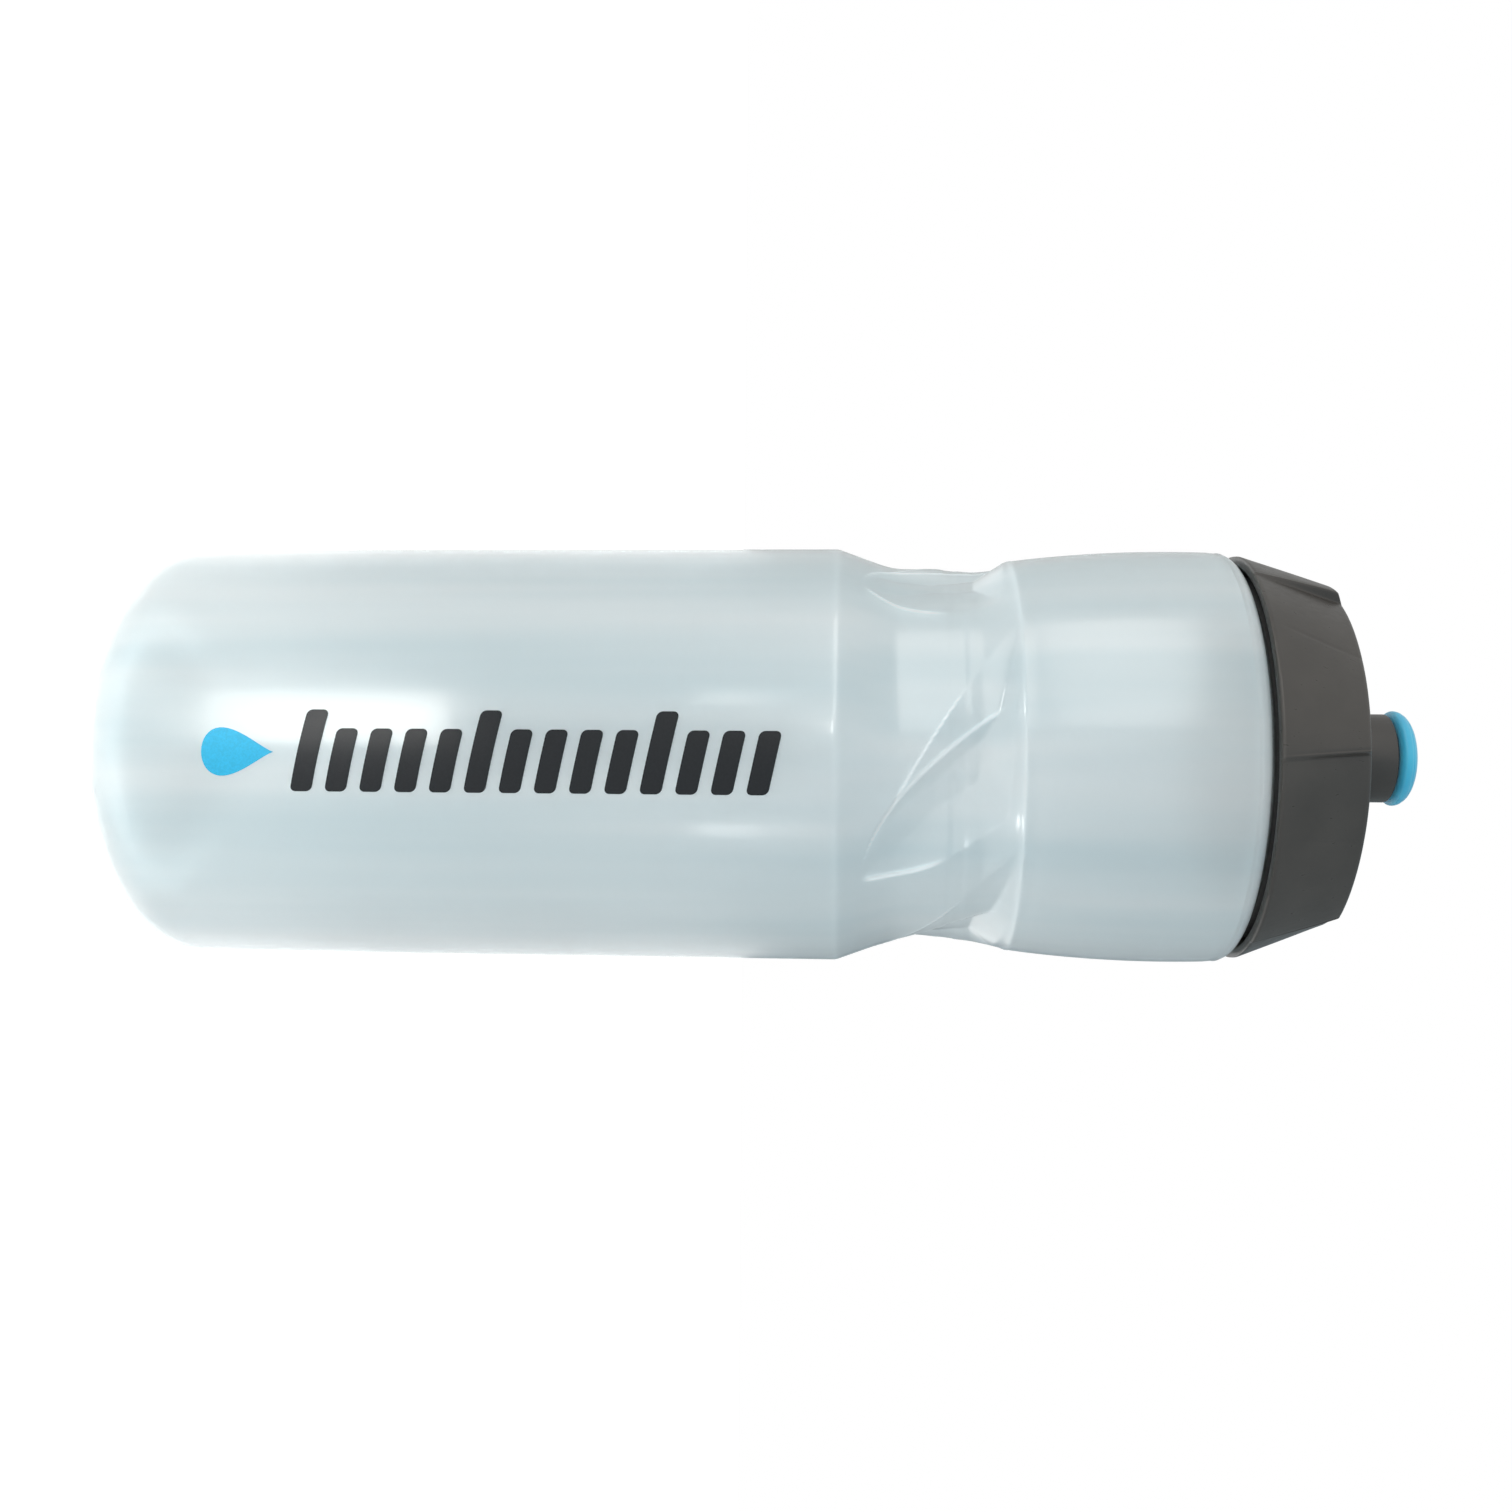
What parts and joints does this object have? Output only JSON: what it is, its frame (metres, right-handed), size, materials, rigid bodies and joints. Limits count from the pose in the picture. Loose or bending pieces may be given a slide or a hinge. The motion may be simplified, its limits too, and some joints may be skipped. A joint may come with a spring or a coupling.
{
  "type": "bicycle water bottle",
  "caption": "Translucent cage bottle with a gripped waist, a panelled screw cap and a push-pull drinking nozzle.",
  "frame": {"origin": "centre of the foot, on the plane the bottle stands on", "axes": "+Z along the bottle's axis from foot to nozzle; -Y is the printed front"},
  "size_m": [0.073, 0.073, 0.2236],
  "materials": {
    "body": "frosted translucent low-density polyethylene with a soft sheen",
    "seal": "plain silicone",
    "cap": "satin moulded polypropylene, charcoal",
    "plug": "natural polypropylene",
    "stem": "satin moulded polypropylene, charcoal",
    "mouthpiece": "soft bright blue elastomer"
  },
  "bodies": {
    "bottle": {"bottle_body": "body"},
    "seal": {"cap_seal_ring": "seal"},
    "cap": {"cap_shell": "cap", "valve_plug": "plug"},
    "nozzle": {"valve_stem": "stem", "mouthpiece": "mouthpiece"}
  },
  "joints": [
    {"name": "cap_lift", "type": "slide", "parent": "bottle", "child": "seal", "axis": [0, 0, 1], "range_m": [0, 0.009]},
    {"name": "cap_turn", "type": "hinge", "parent": "seal", "child": "cap", "pos_m": [0, 0, 0.196], "axis": [0, 0, 1], "range_deg": [0, 720]},
    {"name": "nozzle_pull", "type": "slide", "parent": "cap", "child": "nozzle", "axis": [0, 0, 1], "range_m": [0, 0.0045]}
  ],
  "couplings": [
    {"joint": "cap_lift", "follows": "cap_turn", "m_per_rad": 0.00071619}
  ]
}
